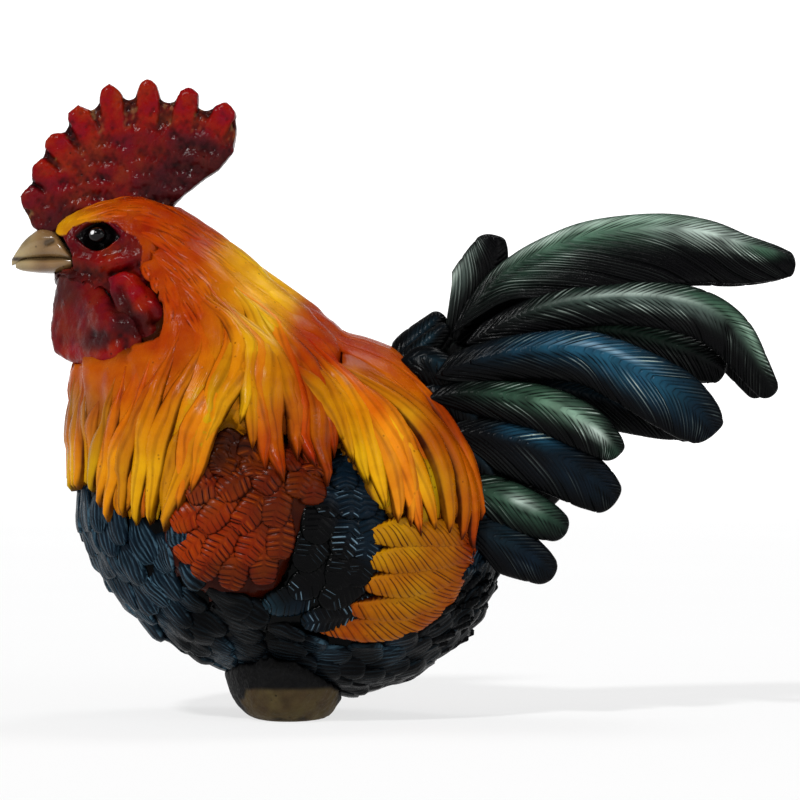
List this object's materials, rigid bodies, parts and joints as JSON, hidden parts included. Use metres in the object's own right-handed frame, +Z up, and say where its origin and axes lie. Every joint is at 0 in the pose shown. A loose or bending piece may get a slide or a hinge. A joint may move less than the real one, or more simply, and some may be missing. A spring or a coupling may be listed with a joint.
{
  "type": "rooster figurine",
  "caption": "Cast resin rooster ornament without legs, with a serrated comb, wattles and a fanned tail, standing on a short flat stub under its belly.",
  "frame": {"origin": "middle of the flat face under the stub, on the surface that the ornament stands on", "axes": "+Z up, -X the way the rooster faces, -Y its left side"},
  "size_m": [0.1643, 0.0748, 0.1336],
  "materials": {
    "black_varnish": "black painted resin with a slate-blue dry brush, under satin varnish",
    "orange_varnish": "orange and yellow painted resin under satin varnish",
    "gold_varnish": "yellow-orange painted resin under satin varnish",
    "rust_varnish": "burnt-orange painted resin with dark grooves, under satin varnish",
    "crimson_varnish": "deep red painted resin under gloss varnish",
    "horn_varnish": "horn-coloured painted resin",
    "eye_gloss": "black glass-like bead",
    "blue_varnish": "black painted resin with a dark blue sheen",
    "green_varnish": "black painted resin with a green metallic sheen",
    "bare_resin": "bare khaki resin, matt",
    "pin_steel": "plain steel rod"
  },
  "bodies": {
    "root": {"comb": "crimson_varnish", "ear_lobe_left": "crimson_varnish", "ear_lobe_right": "crimson_varnish", "eye_left": "eye_gloss", "eye_right": "eye_gloss", "head": "orange_varnish", "lower_beak": "horn_varnish", "neck_cape": "orange_varnish", "neck_pin": "pin_steel", "primary_1_left": "gold_varnish", "primary_1_right": "gold_varnish", "primary_2_left": "gold_varnish", "primary_2_right": "gold_varnish", "primary_3_left": "gold_varnish", "primary_3_right": "gold_varnish", "primary_4_left": "gold_varnish", "primary_4_right": "gold_varnish", "primary_5_left": "gold_varnish", "primary_5_right": "gold_varnish", "root_covert": "black_varnish", "saddle_cape": "gold_varnish", "sickle_second_left": "green_varnish", "sickle_second_right": "green_varnish", "sickle_third_left": "green_varnish", "sickle_third_right": "green_varnish", "sickle_top_left": "green_varnish", "sickle_top_right": "green_varnish", "side_covert_left": "black_varnish", "side_covert_right": "black_varnish", "stub": "bare_resin", "tail_blue_left": "blue_varnish", "tail_blue_right": "blue_varnish", "tail_core": "black_varnish", "tail_green_left": "green_varnish", "tail_green_right": "green_varnish", "tail_hidden_left": "black_varnish", "tail_hidden_right": "black_varnish", "tail_moss_left": "green_varnish", "tail_moss_right": "green_varnish", "tail_navy_left": "blue_varnish", "tail_navy_right": "blue_varnish", "tail_pin_lower": "pin_steel", "tail_pin_upper": "pin_steel", "tail_under_left": "blue_varnish", "tail_under_right": "blue_varnish", "torso": "black_varnish", "upper_beak": "horn_varnish", "upright_feather": "black_varnish", "wattle_left": "crimson_varnish", "wattle_right": "crimson_varnish", "wing_bar_left": "black_varnish", "wing_bar_right": "black_varnish", "wing_coverts_left": "rust_varnish", "wing_coverts_right": "rust_varnish"}
  },
  "joints": []
}
